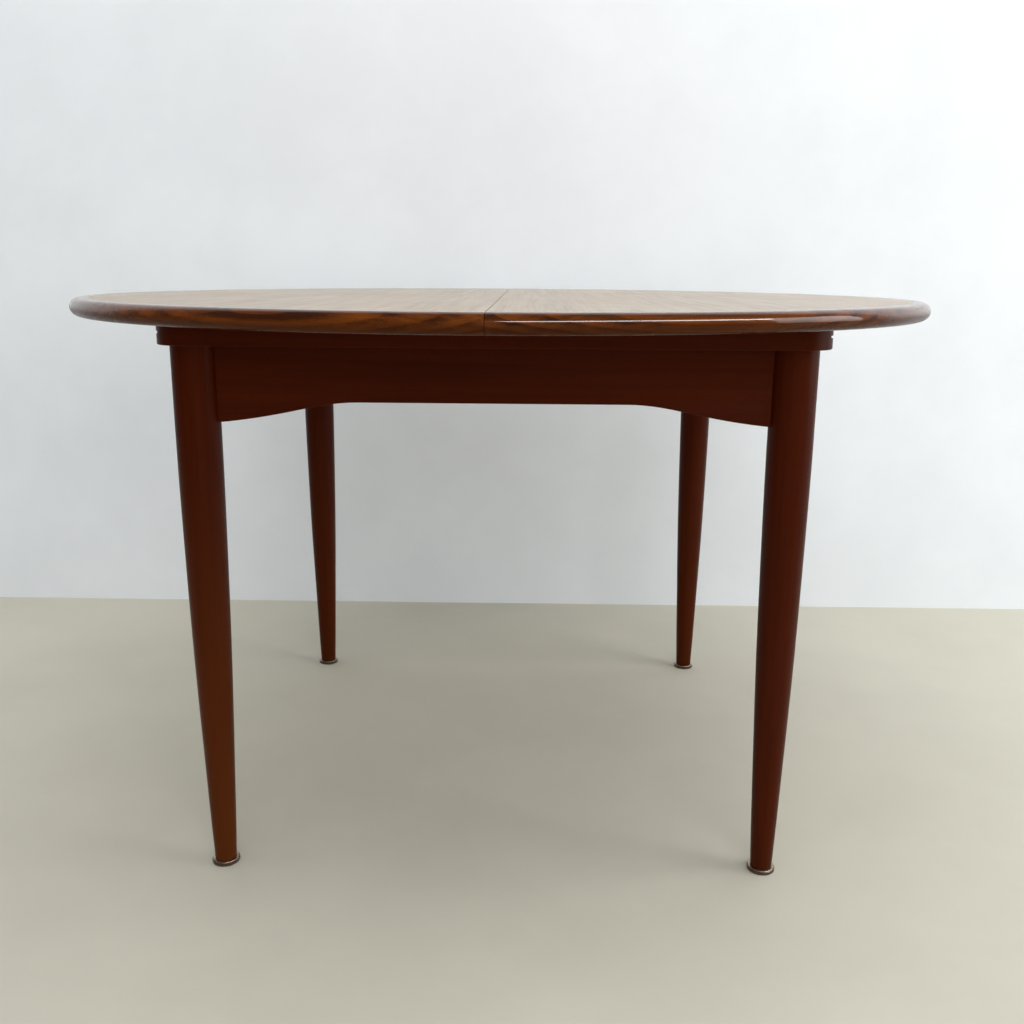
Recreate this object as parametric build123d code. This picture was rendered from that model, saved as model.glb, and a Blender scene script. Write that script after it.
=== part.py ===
from build123d import *
import os
from math import sqrt

# Round dining table on four turned legs. The top is split along a seam at X = 0,
# and each half slides outwards along X to make room for an inserted leaf.
# Millimetres, +Z up, origin on the floor under the centre of the top.
# Front is -Y, back is +Y, left is -X, right is +X.

# ---- overall sizes
table_height = 730.0
top_radius = 600.0
top_thickness = 22.0
lipping_width = 22.0
seam_gap = 0.6
seam_arris_size = 0.8
slide_travel = 225.0

# ---- legs and feet
leg_offset = 355.0
leg_top_radius = 27.0
ankle_radius = 13.8
foot_height = 5.8
foot_radius = 17.8
foot_edge = 1.2
washer_thickness = 1.0
washer_radius = 16.9
glide_pin_radius = 3.0
glide_pin_top = 36.0

# ---- rail boards, the flat boards with rounded corners that lie on the legs
rail_thickness = 25.6
rail_length = 787.0
rail_corner_radius = 45.0
rail_arris = 1.2
rail_width = 90.0
rail_outer_y = 405.0
running_gap = 0.4
kerf_height = 3.6
kerf_depth = 10.5
end_kerf_depth = 7.5
kerf_middle_z = 696.0

# ---- aprons
apron_thickness = 20.0
apron_face = 361.5
apron_end_height = 93.0
apron_arch_rise = 24.9
arch_flat_half = 160.0
arch_middle = 241.0
arch_middle_lift = 1.0
arch_foot = 328.0
arch_foot_slope = 0.09
apron_arris = 1.5
tenon_length = 13.0
tenon_setback = 7.0
tenon_thickness = 12.0
tenon_height = 44.0
joint_gap = 0.1

# ---- runners under each half of the top
runner_width = 30.0
runner_height = 23.4
runner_inner_end = 15.0
runner_outer_end = 385.0
strip_thickness = 3.0
strip_in_runner = 8.0
stop_pin_x = 30.0
stop_pin_radius = 4.0
stop_pin_drop = 12.0
stop_block_length = 28.0

# ---- seam pegs and catches
peg_radius = 4.0
peg_length = 40.0
peg_spread = 450.0
catch_y = 180.0
catch_reach = 50.0
catch_pivot_x = 25.0
lever_thickness = 2.7
post_radius = 3.0
post_head_radius = 5.0
post_head_height = 2.0
plate_thickness = 3.4
plate_half_width = 9.0
plate_half_length = 17.0
plate_screw_shift = 11.0
pivot_radius = 4.0
pivot_head_radius = 6.5
pivot_head_height = 2.8
catch_play = 0.2
hook_play = 0.5

# ---- stretcher and corner blocks
stretcher_width = 40.0
stretcher_gap = 4.0
stretcher_height = 32.0
tongue_shoulder = 8.0
tongue_length = 8.0
block_gap = 8.0
block_height = 42.0
block_reach = 290.0
bolt_radius = 4.0
bolt_washer_radius = 10.0
bolt_washer_thickness = 1.6
nut_radius = 7.5
nut_height = 6.5

# ---- screws
screw_radius = 2.0
screw_head_radius = 3.8
screw_head_height = 2.4
screw_seat = 5.0
stop_screw_inset = 14.0
fit_gap = 0.05

# ---- levels and places that follow from the sizes above
top_underside = table_height - top_thickness
rail_top = top_underside - running_gap
rail_underside = rail_top - rail_thickness
rail_inner_y = rail_outer_y - rail_width
panel_radius = top_radius - lipping_width
apron_inner = apron_face - apron_thickness
apron_middle = apron_face - apron_thickness / 2
tenon_middle = apron_face - tenon_setback
runner_outer_y = rail_inner_y - 0.5
runner_inner_y = runner_outer_y - runner_width
runner_underside = top_underside - runner_height
runner_y = (runner_outer_y + runner_inner_y) / 2
peg_z = table_height - top_thickness / 2
lever_top = top_underside - plate_thickness - catch_play
lever_bottom = lever_top - lever_thickness
stretcher_z1 = rail_underside - stretcher_gap
stretcher_z0 = stretcher_z1 - stretcher_height
tongue_z0 = stretcher_z0 + tongue_shoulder / 2
tongue_z1 = stretcher_z1 - tongue_shoulder / 2
block_z1 = rail_underside - block_gap
block_z0 = block_z1 - block_height
bolt_z = (block_z0 + block_z1) / 2

front_back = {"front": -1, "back": 1}
left_right = {"left": -1, "right": 1}


def block(x0, x1, y0, y1, z0, z1):
    """Box between two corners."""
    box = Box(abs(x1 - x0), abs(y1 - y0), abs(z1 - z0))
    return Pos((x0 + x1) / 2, (y0 + y1) / 2, (z0 + z1) / 2) * box


def upright(x, y, z0, z1, radius):
    """Round bar that stands along Z."""
    return Pos(x, y, (z0 + z1) / 2) * Cylinder(radius, z1 - z0)


def screw_up(x, y, face_z, tip_z):
    """Pan-head screw driven upwards: the head hangs below face_z."""
    head = upright(x, y, face_z - screw_head_height, face_z, screw_head_radius)
    head = fillet(head.edges().group_by(Axis.Z)[0], 1.4)
    slot = block(x - 0.5, x + 0.5, y - 5, y + 5, face_z - screw_head_height, face_z - screw_head_height + 1.0)
    return head - slot + upright(x, y, face_z, tip_z, screw_radius)


def screw_down(x, y, face_z, tip_z):
    """Countersunk screw driven downwards: the head is flush with face_z."""
    slope = screw_head_radius - screw_radius
    cone = Pos(x, y, face_z - slope / 2) * Cone(screw_radius, screw_head_radius, slope)
    slot = block(x - 0.5, x + 0.5, y - 5, y + 5, face_z - 1.0, face_z)
    return cone - slot + upright(x, y, tip_z, face_z - slope, screw_radius)


def flush_screw_up(x, y, face_z, tip_z):
    """Countersunk screw driven upwards: the head is flush with face_z."""
    return mirror(screw_down(x, y, -face_z, -tip_z), Plane.XY)


def flush_hole_up(x, y, face_z, tip_z):
    """Countersunk clearance hole for a flush_screw_up."""
    return mirror(sunk_hole(x, y, -face_z, -tip_z), Plane.XY)


def hole_up(x, y, z0, z1, radius=screw_radius):
    """Clearance hole for a round bar or a screw."""
    return upright(x, y, z0, z1, radius + fit_gap)


def sunk_hole(x, y, face_z, tip_z):
    """Countersunk clearance hole for a screw_down."""
    slope = screw_head_radius - screw_radius
    cone = Pos(x, y, face_z - slope / 2) * Cone(screw_radius + fit_gap, screw_head_radius + fit_gap, slope)
    return cone + upright(x, y, tip_z, face_z, screw_radius + fit_gap)


def half_plane(side):
    """The space that one half of the top may fill, short of the seam."""
    inner = side * seam_gap / 2
    outer = side * (top_radius + 10)
    return block(inner, outer, -top_radius - 10, top_radius + 10, top_underside - 1, table_height + 1)


# ---------------------------------------------------------------- top halves

def top_disc():
    """Full veneered board inside the lipping."""
    return upright(0, 0, top_underside, table_height, panel_radius - fit_gap)


def lipping_ring():
    """Full ring of solid wood with a half-round nose."""
    nose = top_thickness / 2
    flat = top_radius - nose
    with BuildSketch(Plane.XZ) as profile:
        with BuildLine():
            Line((panel_radius, top_underside), (flat, top_underside))
            ThreePointArc((flat, top_underside), (top_radius, top_underside + nose), (flat, table_height))
            Line((flat, table_height), (panel_radius, table_height))
            Line((panel_radius, table_height), (panel_radius, top_underside))
        make_face()
    return revolve(profile.sketch, Axis.Z)


def seam_arris(part, side):
    """Ease the top edge of the seam so that it shows as a fine dark line."""
    bar = Rot(0, 45, 0) * Box(seam_arris_size, 2 * top_radius + 20, seam_arris_size)
    return part - Pos(side * seam_gap / 2, 0, table_height) * bar


def peg_places():
    return [-peg_spread, 0.0, peg_spread]


def runner_screw_x():
    return [60.0, 200.0, 340.0]


def top_screw_places(side):
    """Where the runner screws enter the underside of a half."""
    return [(side * x, end * runner_y) for x in runner_screw_x() for end in front_back.values()]


def plate_screw_places(side):
    """Where the catch plates and keepers are screwed to a half."""
    return [(side * catch_pivot_x, end * catch_y + shift) for end in front_back.values()
            for shift in (-plate_screw_shift, plate_screw_shift)]


def top_panel(side):
    panel = seam_arris(top_disc() & half_plane(side), side)
    for y in peg_places():
        socket = Cylinder(peg_radius + 0.06 if side > 0 else peg_radius + fit_gap, peg_length + 4)
        panel -= Pos(0, y, peg_z) * Rot(0, 90, 0) * socket
    for x, y in top_screw_places(side):
        panel -= hole_up(x, y, top_underside - 1, top_underside + 12)
    for x, y in plate_screw_places(side):
        panel -= hole_up(x, y, top_underside - 1, top_underside + 10)
    if side > 0:
        for end in front_back.values():
            panel -= hole_up(catch_pivot_x, end * catch_y, top_underside - 1, top_underside + 12)
    return panel


def top_lipping(side):
    return seam_arris(lipping_ring() & half_plane(side), side)


def seam_pegs():
    """Pegs glued into the left half that line up the right half."""
    pegs = []
    for y in peg_places():
        peg = Pos(0, y, peg_z) * Rot(0, 90, 0) * Cylinder(peg_radius, peg_length)
        pegs.append(chamfer(peg.edges().group_by(Axis.X)[-1], 1.5))
    return pegs


def runner(side, end):
    """Hardwood bar under a half, slit along its outer face for the slide strip."""
    y0 = end * runner_inner_y
    y1 = end * runner_outer_y
    bar = block(side * runner_inner_end, side * runner_outer_end, y0, y1, runner_underside, top_underside)
    bar = chamfer(bar.edges().filter_by(Axis.X).group_by(Axis.Z)[0], 1.5)
    slit_y = end * (runner_outer_y - strip_in_runner)
    half = strip_thickness / 2 + fit_gap
    bar -= block(side * 1, side * (runner_outer_end + 5), slit_y, y1 + end * 1,
                 kerf_middle_z - half, kerf_middle_z + half)
    below = runner_underside - 1
    seat = runner_underside + screw_seat
    for x in runner_screw_x():
        bar -= hole_up(side * x, end * runner_y, below, top_underside + 1)
        bar -= upright(side * x, end * runner_y, below, seat, screw_head_radius + 0.7)
    return bar - hole_up(side * stop_pin_x, end * runner_y, below, runner_underside + 15, stop_pin_radius)


def runner_screws(side):
    return [screw_up(side * x, end * runner_y, runner_underside + screw_seat, top_underside + 11)
            for x in runner_screw_x() for end in front_back.values()]


def slide_strip(side, end):
    """Flat steel strip held in the runner; it slides in the kerf of the rail board."""
    y0 = end * (runner_outer_y - strip_in_runner)
    y1 = end * (rail_inner_y + kerf_depth - 0.8)
    z0 = kerf_middle_z - strip_thickness / 2
    return block(side * (runner_inner_end + 2), side * (runner_outer_end - 2), y0, y1, z0, z0 + strip_thickness)


def stop_pins(side):
    """Dowels under the runners that meet the stop blocks at full extension."""
    pins = []
    for end in front_back.values():
        pin = upright(side * stop_pin_x, end * runner_y, runner_underside - stop_pin_drop,
                      runner_underside + 14, stop_pin_radius)
        pins.append(chamfer(pin.edges().group_by(Axis.Z)[0], 1.0))
    return pins


# ------------------------------------------------------------------- catches

def base_plate(x, y):
    """Small plate with rounded corners on the underside of the top."""
    plate = block(x - plate_half_width, x + plate_half_width, y - plate_half_length, y + plate_half_length,
                  top_underside - plate_thickness, top_underside)
    return fillet(plate.edges().filter_by(Axis.Z), 4)


def catch_plate(end):
    """Base plate of a catch, on the right half."""
    plate = base_plate(catch_pivot_x, end * catch_y)
    plate -= hole_up(catch_pivot_x, end * catch_y, top_underside - 10, top_underside + 1)
    for x, y in plate_screw_places(1):
        plate -= flush_hole_up(x, y, top_underside - plate_thickness, top_underside + 1)
    return plate


def keeper(end):
    """Keeper plate with its headed post, on the left half."""
    plate = base_plate(-catch_pivot_x, end * catch_y)
    for x, y in plate_screw_places(-1):
        plate -= flush_hole_up(x, y, top_underside - plate_thickness, top_underside + 1)
    head_top = lever_bottom - 2 * catch_play
    post = upright(-catch_pivot_x, end * catch_y, head_top, top_underside - plate_thickness, post_radius)
    head = upright(-catch_pivot_x, end * catch_y, head_top - post_head_height, head_top, post_head_radius)
    return plate + post + head


def catch_lever(end):
    """Flat hook that swings about its pivot screw. At rest it points towards the back."""
    disc = Cylinder(9, lever_thickness)
    arm = Pos(catch_reach / 2, 0, 0) * Box(catch_reach, 12, lever_thickness)
    tip = Pos(catch_reach, 0, 0) * Cylinder(10, lever_thickness)
    mouth_inner = catch_reach - post_radius - hook_play
    mouth_outer = catch_reach + post_radius + hook_play
    ring = Cylinder(mouth_outer, 10) - Cylinder(mouth_inner, 10)
    wedge = Pos(catch_reach, 12, 0) * Box(24, 24, 10)
    mouth = (ring & wedge) + Pos(catch_reach, 0, 0) * Cylinder(post_radius + hook_play, 10)
    tab = Pos(catch_reach + 2, -9, -5) * Box(12, 2.5, 10 + lever_thickness)
    lever = disc + arm + tip + tab - mouth - Cylinder(pivot_radius + fit_gap, 10)
    return Pos(catch_pivot_x, end * catch_y, (lever_top + lever_bottom) / 2) * Rot(0, 0, 90) * lever


def pivot_screws():
    """Shouldered screws that the catch levers turn on."""
    screws = []
    for end in front_back.values():
        y = end * catch_y
        head_top = lever_bottom - catch_play
        head_bottom = head_top - pivot_head_height
        head = upright(catch_pivot_x, y, head_bottom, head_top, pivot_head_radius)
        shoulder = upright(catch_pivot_x, y, head_top, lever_top + catch_play, pivot_radius)
        shank = upright(catch_pivot_x, y, lever_top + catch_play, top_underside + 11, screw_radius)
        slot = block(catch_pivot_x - 7, catch_pivot_x + 7, y - 0.6, y + 0.6, head_bottom, head_bottom + 1.0)
        screws.append(head + shoulder + shank - slot)
    return screws


def plate_screws(side):
    face = top_underside - plate_thickness
    return [flush_screw_up(x, y, face, top_underside + 9) for x, y in plate_screw_places(side)]


# --------------------------------------------------------------- rail boards

def rail_outline():
    """Plan of the front rail board: a long board with its two outer corners rounded."""
    reach = rail_length / 2
    start = reach - rail_corner_radius
    bend = rail_corner_radius * (1 - sqrt(0.5))
    side_y = -rail_outer_y + rail_corner_radius
    with BuildSketch() as plan:
        with BuildLine():
            Line((-start, -rail_outer_y), (start, -rail_outer_y))
            ThreePointArc((start, -rail_outer_y), (reach - bend, -rail_outer_y + bend), (reach, side_y))
            Line((reach, side_y), (reach, -rail_inner_y))
            Line((reach, -rail_inner_y), (-reach, -rail_inner_y))
            Line((-reach, -rail_inner_y), (-reach, side_y))
            ThreePointArc((-reach, side_y), (-reach + bend, -rail_outer_y + bend), (-start, -rail_outer_y))
        make_face()
    return plan.sketch


def rail_screw_places():
    """Two screws into the legs and four into the apron, for the front board."""
    legs = [(side * leg_offset, -leg_offset) for side in left_right.values()]
    apron = [(side * x, -apron_middle) for side in left_right.values() for x in (90.0, 270.0)]
    return legs + apron


def stop_screw_places():
    """Where the stop blocks are screwed to the underside of the front board."""
    x = stop_block_x() + stop_block_length / 2
    return [(side * x, -rail_inner_y - stop_screw_inset) for side in left_right.values()]


def stop_block_x():
    """Near face of a stop block: the stop pin touches it at full travel."""
    return stop_pin_x + slide_travel + stop_pin_radius + 0.5


def rail_board(end):
    front = extrude(Pos(0, 0, rail_underside) * rail_outline(), rail_thickness)
    outer = front.edges().group_by(Axis.Z)[0].filter_by(lambda edge: edge.center().Y < -rail_inner_y - 1)
    front = fillet(outer, rail_arris)
    half = kerf_height / 2
    front -= block(-rail_length, rail_length, -rail_inner_y - kerf_depth, -rail_inner_y + 5,
                   kerf_middle_z - half, kerf_middle_z + half)
    for side in left_right.values():
        near = side * (rail_length / 2 - end_kerf_depth)
        front -= block(near, side * rail_length, -rail_outer_y - 5, -rail_inner_y + 5,
                       kerf_middle_z - half, kerf_middle_z + half)
    for x, y in rail_screw_places():
        front -= sunk_hole(x, y, rail_top, rail_underside - 1)
    for x, y in stop_screw_places():
        front -= hole_up(x, y, rail_underside - 1, rail_underside + 9)
    return front if end < 0 else mirror(front, Plane.XZ)


def rail_screws():
    screws = []
    for end in front_back.values():
        for x, y in rail_screw_places():
            screws.append(screw_down(x, -end * y, rail_top, rail_underside - 28))
    return screws


def stop_block(side, end):
    """Hardwood block under a rail board, in the way of the stop pin."""
    near = side * stop_block_x()
    far = side * (stop_block_x() + stop_block_length)
    y0 = end * (runner_inner_y + 4)
    y1 = end * (rail_inner_y + 22)
    stop = block(near, far, y0, y1, rail_underside - 20, rail_underside)
    stop = chamfer(stop.edges().group_by(Axis.Z)[0], 1.2)
    x, y = side * (stop_block_x() + stop_block_length / 2), end * (rail_inner_y + stop_screw_inset)
    return stop - hole_up(x, y, rail_underside - 25, rail_underside + 1)


def stop_screws():
    return [screw_up(x, -end * y, rail_underside - 20, rail_underside + 8)
            for end in front_back.values() for x, y in stop_screw_places()]


# -------------------------------------------------------------------- aprons

def arch_outline():
    """Front view of an apron: level in the middle, then a long sweep down to each leg."""
    low = rail_underside - apron_end_height
    high = low + apron_arch_rise
    middle_z = (low + high) / 2 + arch_middle_lift
    with BuildSketch(Plane.XZ) as view:
        with BuildLine():
            Line((-leg_offset, rail_underside), (leg_offset, rail_underside))
            Line((leg_offset, rail_underside), (leg_offset, low))
            Line((leg_offset, low), (arch_foot, low))
            Spline((arch_foot, low), (arch_middle, middle_z), (arch_flat_half, high),
                   tangents=[(-1, arch_foot_slope), (-1, 0)])
            Line((arch_flat_half, high), (-arch_flat_half, high))
            Spline((-arch_flat_half, high), (-arch_middle, middle_z), (-arch_foot, low),
                   tangents=[(-1, 0), (-1, -arch_foot_slope)])
            Line((-arch_foot, low), (-leg_offset, low))
            Line((-leg_offset, low), (-leg_offset, rail_underside))
        make_face()
    return view.sketch


def apron_board():
    """Front apron with shouldered tenons, before the legs are cut out of it."""
    board = extrude(arch_outline(), apron_thickness)
    board = Pos(0, -apron_inner - board.bounding_box().max.Y, 0) * board
    low = board.edges().filter_by(lambda edge: edge.center().Z < rail_underside - apron_end_height / 2)
    long_edges = low.filter_by(lambda edge: edge.bounding_box().size.Y < 1 < edge.bounding_box().size.X)
    board = fillet(long_edges, apron_arris)
    for side in left_right.values():
        board -= upright(side * leg_offset, -leg_offset, 0, table_height, leg_top_radius + 0.3)
        shoulder = side * (leg_offset - leg_top_radius - 1.0)
        tip = side * (leg_offset - leg_top_radius + tenon_length)
        board += block(shoulder, tip, -tenon_middle - tenon_thickness / 2, -tenon_middle + tenon_thickness / 2,
                       tenon_bottom(), tenon_bottom() + tenon_height)
    return board


def tenon_bottom():
    return rail_underside - 12 - tenon_height


def mortise(grow=joint_gap):
    """Slot in the front left leg for the tenon of the front apron."""
    tip = -(leg_offset - leg_top_radius + tenon_length + 1)
    half = tenon_thickness / 2 + grow
    return block(tip, -leg_offset + leg_top_radius + 5, -tenon_middle - half, -tenon_middle + half,
                 tenon_bottom() - grow, tenon_bottom() + tenon_height + grow)


def front_apron():
    board = apron_board()
    for x, y in rail_screw_places()[2:]:
        board -= hole_up(x, y, rail_underside - 29, rail_underside + 1)
    half = stretcher_width / 2 - tongue_shoulder + joint_gap
    pocket = block(-half, half, -apron_inner - tongue_length - 1, -apron_inner + 1,
                   tongue_z0 - joint_gap, tongue_z1 + joint_gap)
    return board - pocket


def apron(name):
    if name == "front":
        return front_apron()
    if name == "back":
        return mirror(front_apron(), Plane.XZ)
    side_board = Rot(0, 0, -90) * apron_board()
    return side_board if name == "left" else mirror(side_board, Plane.YZ)


def stretcher():
    """Middle bar that ties the front and back aprons together below the runners."""
    side = stretcher_width / 2
    bar = block(-side, side, -apron_inner, apron_inner, stretcher_z0, stretcher_z1)
    bar = chamfer(bar.edges().filter_by(Axis.Y), 2)
    half = stretcher_width / 2 - tongue_shoulder
    reach = apron_inner + tongue_length
    return bar + block(-half, half, -reach, reach, tongue_z0, tongue_z1)


# ---------------------------------------------------------- legs and corners

def leg_body():
    """Turned leg at its own axis: straight at the top, a cigar taper to the ankle."""
    shoulder = rail_underside - apron_end_height - 10
    with BuildSketch(Plane.XZ) as profile:
        with BuildLine():
            Line((0, foot_height), (ankle_radius - 0.8, foot_height))
            Line((ankle_radius - 0.8, foot_height), (ankle_radius, foot_height + 0.8))
            Spline((ankle_radius, foot_height + 0.8), (18.2, 130), (22.6, 270), (25.5, 420),
                   (leg_top_radius, shoulder), tangents=[(0.045, 1), (0, 1)])
            Line((leg_top_radius, shoulder), (leg_top_radius, rail_underside - 0.8))
            Line((leg_top_radius, rail_underside - 0.8), (leg_top_radius - 0.8, rail_underside))
            Line((leg_top_radius - 0.8, rail_underside), (0, rail_underside))
            Line((0, rail_underside), (0, foot_height))
        make_face()
    return revolve(profile.sketch, Axis.Z)


def diagonal(start, end, radius, z=bolt_z):
    """Round bar on the line from the leg's axis towards the table's middle."""
    bar = Pos((start + end) / 2, 0, 0) * Rot(0, 90, 0) * Cylinder(radius, end - start)
    return Pos(-leg_offset, -leg_offset, z) * Rot(0, 0, 45) * bar


def front_left_leg():
    leg = Pos(-leg_offset, -leg_offset, 0) * leg_body()
    leg -= mortise()
    leg -= other_mortise()
    leg -= diagonal(7, leg_top_radius + 5, bolt_radius + fit_gap)
    leg -= hole_up(-leg_offset, -leg_offset, 0, glide_pin_top + 1, glide_pin_radius)
    leg -= hole_up(-leg_offset, -leg_offset, rail_underside - 29, rail_underside + 1)
    return leg


def other_mortise():
    """Slot in the front left leg for the tenon of the left apron."""
    return mirror(mortise(), Plane(origin=(0, 0, 0), z_dir=(1, -1, 0)))


def leg(side, end):
    part = front_left_leg()
    if side > 0:
        part = mirror(part, Plane.YZ)
    if end > 0:
        part = mirror(part, Plane.XZ)
    return part


def corner_block(side, end):
    """Triangular block that braces a corner and takes the leg's bolt."""
    reach = apron_inner - 0.1
    with BuildSketch() as plan:
        with BuildLine():
            Polyline((-reach, -block_reach), (-block_reach, -reach), (-reach, -reach), close=True)
        make_face()
    part = extrude(Pos(0, 0, block_z0) * plan.sketch, block_z1 - block_z0)
    part -= upright(-leg_offset, -leg_offset, 0, table_height, leg_top_radius + 0.3)
    part -= diagonal(leg_top_radius, 90, bolt_radius + fit_gap)
    if side > 0:
        part = mirror(part, Plane.YZ)
    if end > 0:
        part = mirror(part, Plane.XZ)
    return part


def block_face():
    """Distance from the leg's axis to the long face of the corner block."""
    return (2 * leg_offset - block_reach - (apron_inner - 0.1)) / sqrt(2)


def four_corners(part):
    """The same piece at all four legs."""
    right = mirror(part, Plane.YZ)
    return [part, right, mirror(part, Plane.XZ), mirror(right, Plane.XZ)]


def leg_bolt():
    return diagonal(8, block_face() + 13, bolt_radius)


def bolt_washer():
    face = block_face()
    washer = diagonal(face, face + bolt_washer_thickness, bolt_washer_radius)
    return washer - diagonal(face - 1, face + 3, bolt_radius + fit_gap)


def bolt_nut():
    face = block_face() + bolt_washer_thickness
    hexagon = extrude(RegularPolygon(nut_radius, 6), nut_height)
    nut = Pos(-leg_offset, -leg_offset, bolt_z) * Rot(0, 0, 45) * Pos(face, 0, 0) * Rot(0, 90, 0) * hexagon
    return nut - diagonal(face - 1, face + 10, bolt_radius + fit_gap)


# --------------------------------------------------------------------- feet

def foot_disc(side, end):
    """Moulded disc under a leg, rounded at its bottom edge and sloped at its top."""
    top = foot_height - washer_thickness
    with BuildSketch(Plane.XZ) as profile:
        with BuildLine():
            Line((0, 0), (foot_radius - foot_edge, 0))
            ThreePointArc((foot_radius - foot_edge, 0), (foot_radius - 0.3 * foot_edge, 0.3 * foot_edge),
                          (foot_radius, foot_edge))
            Line((foot_radius, foot_edge), (foot_radius, top - foot_edge / 2))
            Line((foot_radius, top - foot_edge / 2), (foot_radius - foot_edge / 2, top))
            Line((foot_radius - foot_edge / 2, top), (0, top))
            Line((0, top), (0, 0))
        make_face()
    disc = revolve(profile.sketch, Axis.Z) - hole_up(0, 0, 2, foot_height, glide_pin_radius)
    return Pos(side * leg_offset, end * leg_offset, 0) * disc


def foot_washer():
    washer = upright(0, 0, foot_height - washer_thickness, foot_height, washer_radius)
    washer = fillet(washer.edges().group_by(Axis.Z)[-1], 0.6) - hole_up(0, 0, 0, 20, glide_pin_radius)
    return Pos(-leg_offset, -leg_offset, 0) * washer


def glide_pin():
    return upright(-leg_offset, -leg_offset, 2.5, glide_pin_top, glide_pin_radius)


# ------------------------------------------------------------------- output

def save(name, solids):
    """Write one node; a group of separate solids becomes one compound."""
    os.makedirs("parts", exist_ok=True)
    shape = Compound(children=list(solids)) if isinstance(solids, list) else solids
    export_step(shape, f"parts/{name}.step")


def save_corner_pieces():
    for end_name, end in front_back.items():
        for side_name, side in left_right.items():
            place = f"{end_name}_{side_name}"
            save(f"leg_{place}", leg(side, end))
            save(f"foot_disc_{place}", foot_disc(side, end))
            save(f"corner_block_{place}", corner_block(side, end))
            save(f"stop_block_{place}", stop_block(side, end))


def save_frame():
    for name in ("front", "back", "left", "right"):
        save(f"apron_{name}", apron(name))
    for name, end in front_back.items():
        save(f"rail_board_{name}", rail_board(end))
    save("stretcher", stretcher())
    save("rail_screws", rail_screws())
    save("stop_screws", stop_screws())
    save("leg_bolts", four_corners(leg_bolt()))
    save("bolt_washers", four_corners(bolt_washer()))
    save("bolt_nuts", four_corners(bolt_nut()))
    save("foot_washers", four_corners(foot_washer()))
    save("glide_pins", four_corners(glide_pin()))


def save_half(name, side):
    save(f"top_panel_{name}", top_panel(side))
    save(f"top_lipping_{name}", top_lipping(side))
    save(f"runner_screws_{name}", runner_screws(side))
    save(f"stop_pins_{name}", stop_pins(side))
    save(f"plate_screws_{name}", plate_screws(side))
    for end_name, end in front_back.items():
        save(f"runner_{end_name}_{name}", runner(side, end))
        save(f"slide_strip_{end_name}_{name}", slide_strip(side, end))


def save_catches():
    save("seam_pegs", seam_pegs())
    save("catch_pivot_screws", pivot_screws())
    for name, end in front_back.items():
        save(f"keeper_{name}", keeper(end))
        save(f"catch_plate_{name}", catch_plate(end))
        save(f"catch_lever_{name}", catch_lever(end))


save_corner_pieces()
save_frame()
for half_name, half_side in left_right.items():
    save_half(half_name, half_side)
save_catches()
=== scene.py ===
import math

import bmesh
import bpy
from bpy.props import FloatProperty, FloatVectorProperty, IntProperty, PointerProperty
from bpy.types import NodeSocket, Operator, Panel, PropertyGroup
from mathutils import Matrix, Vector

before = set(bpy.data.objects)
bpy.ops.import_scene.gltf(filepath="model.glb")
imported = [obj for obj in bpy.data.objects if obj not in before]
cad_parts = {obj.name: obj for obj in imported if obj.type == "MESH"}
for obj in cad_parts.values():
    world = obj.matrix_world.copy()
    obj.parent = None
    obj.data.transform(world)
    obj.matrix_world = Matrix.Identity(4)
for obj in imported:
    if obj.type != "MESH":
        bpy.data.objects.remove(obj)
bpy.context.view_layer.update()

bl_info = {
    "name": "Round Extending Table",
    "version": (1, 0, 0),
    "blender": (4, 5, 0),
    "location": "View3D > Sidebar > Table",
    "description": "Finishes, camera and studio for a round dining table with a sliding top",
    "category": "Object",
}

SIDES = ("left", "right")
ENDS = ("front", "back")
CORNERS = tuple(f"{end}_{side}" for end in ENDS for side in SIDES)
TURN_TO_GRAIN = {
    "X": (0.0, 0.0, 0.0),
    "Y": (0.0, 0.0, -math.pi / 2),
    "Z": (0.0, math.pi / 2, 0.0),
}

# Wood grain: cells per metre along and across the grain, then how each layer shows.
BEND_CELLS = (2.4, 8.0, 8.0)
STREAK_CELLS = (4.0, 150.0, 150.0)
FIBRE_CELLS = (35.0, 1300.0, 1300.0)
BROAD_CELLS = (1.7, 16.0, 16.0)
PORE_CELLS = (190.0, 3200.0, 3200.0)
LATE_RISE = (0.25, 0.92)
LATE_FALL = (0.94, 1.0)
FAINTEST_YEAR = 0.35
FIBRE_TONE = 0.35
TONE_SPAN = (0.45, 1.10)
BROAD_SPAN = (0.3, 0.7)
BROAD_VALUES = (0.90, 1.10)
PORE_SPAN = (0.60, 0.70)
PORE_ROUGHENS = 0.16
STREAK_ROUGHENS = 0.18
FIBRE_HEIGHT = 0.45
LATE_HEIGHT = 0.25

# Veneer leaves and lipping parts: where the grain is centred, and how wide a glue joint shows.
LEAF_CENTRE = 0.42
LEAF_DRIFT = 0.0016
LEAF_JOINT = (0.0001, 0.0005)
PART_LIFT = 0.173
PART_JOINT = (0.0002, 0.0009)

# Handling marks: smears, and scratches that run two ways.
SMEAR_CELLS = (9.0, 9.0, 9.0)
SMEAR_SPAN = (0.35, 0.75)
SMEAR_CHANGE = (-0.5, 1.0)
SCRATCH_CELLS = (7.0, 520.0, 520.0)
CROSS_SCRATCH_CELLS = (9.0, 610.0, 610.0)
CROSS_SCRATCH_TURN = 0.7
SCRATCH_SPAN = (0.74, 0.80)
SCRATCH_ROUGHENS = 0.8

# Worked metal: drawn lines and tarnish.
LINE_CELLS = (60.0, 900.0, 2200.0)
LINE_SPAN = (0.2, 0.8)
LINE_VALUES = (0.86, 1.1)
LINE_ROUGHENS = 0.10
TARNISH_CELLS = (90.0, 90.0, 90.0)
TARNISH_SPAN = (0.42, 0.68)
TARNISH_ROUGHENS = 0.25

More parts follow.
